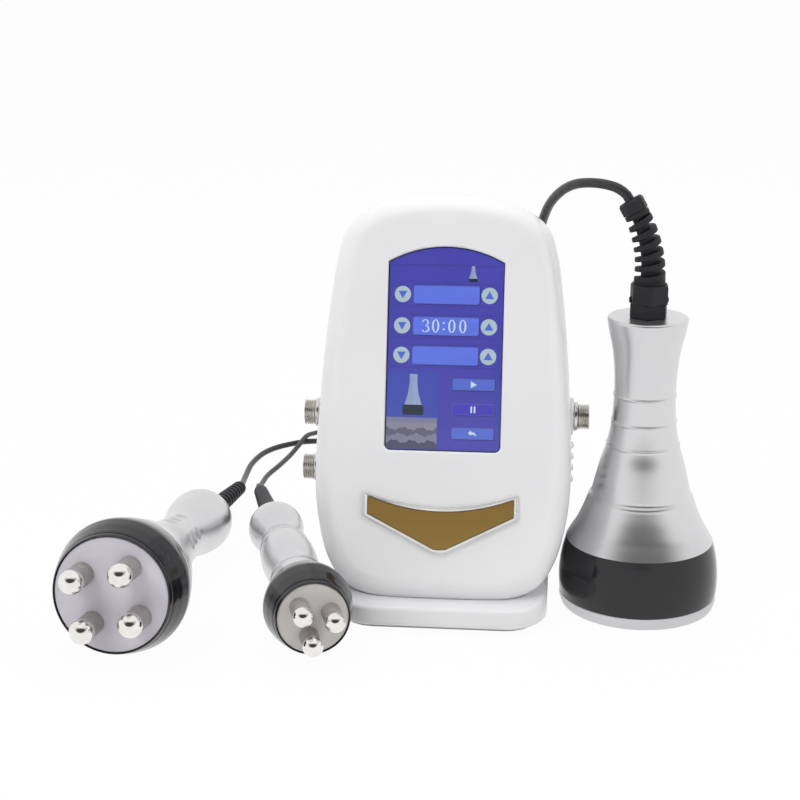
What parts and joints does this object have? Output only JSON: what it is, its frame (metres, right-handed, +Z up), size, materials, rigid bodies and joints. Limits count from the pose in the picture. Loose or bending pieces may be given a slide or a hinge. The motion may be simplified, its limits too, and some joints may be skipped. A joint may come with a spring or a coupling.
{
  "type": "cavitation slimming machine",
  "caption": "Tabletop body-care console: leaning screen housing on a dished base, with corded cavitation and ball-electrode handpieces standing and lying beside it.",
  "frame": {"origin": "on the table, under the middle of the console's base", "axes": "+Z up, the screen faces -Y, +X to the right of a person facing the screen"},
  "size_m": [0.3926, 0.5356, 0.2653],
  "materials": {
    "white_housing": "glossy moulded",
    "underside_grey": "moulded",
    "rubber_black": "matt",
    "cord_black": "satin",
    "screen_glass": "glossy",
    "trim_silver": "polished",
    "plate_gold": "satin",
    "connector_nickel": "plated",
    "black_gloss": "glossy",
    "black_plastic": "moulded",
    "silver_satin": "satin lacquer",
    "head_aluminium": "polished",
    "electrode_steel": "polished",
    "face_grey": "satin",
    "board_green": "solder mask"
  },
  "bodies": {
    "console": {"front_cover": "white_housing", "rear_cover": "white_housing", "base_stand": "white_housing", "bottom_plate": "underside_grey", "display_module": "underside_grey", "foot_1": "rubber_black", "foot_2": "rubber_black", "foot_3": "rubber_black", "foot_4": "rubber_black", "socket_insert_1": "rubber_black", "socket_insert_2": "rubber_black", "socket_insert_3": "rubber_black", "cavitation_cord": "cord_black", "cavitation_coil": "cord_black", "multipolar_cord": "cord_black", "multipolar_coil": "cord_black", "tripolar_cord": "cord_black", "tripolar_coil": "cord_black", "screen_glass": "screen_glass", "badge_frame": "trim_silver", "badge_plate": "plate_gold", "socket_1": "connector_nickel", "socket_2": "connector_nickel", "socket_3": "connector_nickel", "cavitation_plug": "connector_nickel", "multipolar_plug": "connector_nickel", "tripolar_plug": "connector_nickel", "mains_inlet": "black_plastic", "fan_frame": "black_plastic", "fan_guard": "black_plastic", "power_supply": "head_aluminium", "control_board": "board_green"},
    "cavitation_handpiece": {"cavitation_transducer": "head_aluminium", "cavitation_band": "black_gloss", "cavitation_shell": "silver_satin", "cavitation_gland": "rubber_black", "bend_guard_sleeve": "rubber_black", "bend_guard_spiral": "rubber_black"},
    "multipolar_handpiece": {"multipolar_ring": "black_gloss", "multipolar_face": "face_grey", "multipolar_electrode_1": "electrode_steel", "multipolar_electrode_2": "electrode_steel", "multipolar_electrode_3": "electrode_steel", "multipolar_electrode_4": "electrode_steel", "multipolar_grip": "silver_satin", "multipolar_bend_guard": "rubber_black"},
    "tripolar_handpiece": {"tripolar_ring": "black_gloss", "tripolar_face": "face_grey", "tripolar_electrode_1": "electrode_steel", "tripolar_electrode_2": "electrode_steel", "tripolar_electrode_3": "electrode_steel", "tripolar_grip": "silver_satin", "tripolar_bend_guard": "rubber_black"},
    "fan": {"fan_rotor": "black_plastic"},
    "power_switch": {"power_rocker": "black_plastic"},
    "fuse_holder": {"fuse_drawer": "black_plastic"},
    "cavitation_coupling": {"cavitation_plug_ring": "connector_nickel"},
    "multipolar_coupling": {"multipolar_plug_ring": "connector_nickel"},
    "tripolar_coupling": {"tripolar_plug_ring": "connector_nickel"}
  },
  "joints": [
    {"name": "cavitation_lift", "type": "slide", "parent": "console", "child": "cavitation_handpiece", "axis": [0.5, 0, 0.866], "range_m": [0, 0.12], "deforming": ["cavitation_cord"]},
    {"name": "multipolar_lift", "type": "slide", "parent": "console", "child": "multipolar_handpiece", "axis": [0, 0, 1], "range_m": [0, 0.12], "deforming": ["multipolar_cord"]},
    {"name": "tripolar_lift", "type": "slide", "parent": "console", "child": "tripolar_handpiece", "axis": [0, -0.6, 0.8], "range_m": [0, 0.1], "deforming": ["tripolar_cord"]},
    {"name": "fan_spin", "type": "hinge", "parent": "console", "child": "fan", "pos_m": [0, 0.0522, 0.15794], "axis": [0, 0.9613, -0.2756], "continuous": true},
    {"name": "rocker_press", "type": "hinge", "parent": "console", "child": "power_switch", "pos_m": [-0.0195, 0.02488, 0.05759], "axis": [1, 0, 0], "range_deg": [0, 14]},
    {"name": "fuse_slide", "type": "slide", "parent": "console", "child": "fuse_holder", "axis": [0, 0.9613, -0.2756], "range_m": [0, 0.01]},
    {"name": "cavitation_coupling_turn", "type": "hinge", "parent": "console", "child": "cavitation_coupling", "pos_m": [0.0696, 0.3006, 0.0097], "axis": [0, 1, 0], "continuous": true},
    {"name": "multipolar_coupling_turn", "type": "hinge", "parent": "console", "child": "multipolar_coupling", "pos_m": [-0.0009, 0.29177, 0.0097], "axis": [1, 0, 0], "continuous": true},
    {"name": "tripolar_coupling_turn", "type": "hinge", "parent": "console", "child": "tripolar_coupling", "pos_m": [-0.0324, 0.37468, 0.0097], "axis": [1, 0, 0], "continuous": true}
  ]
}
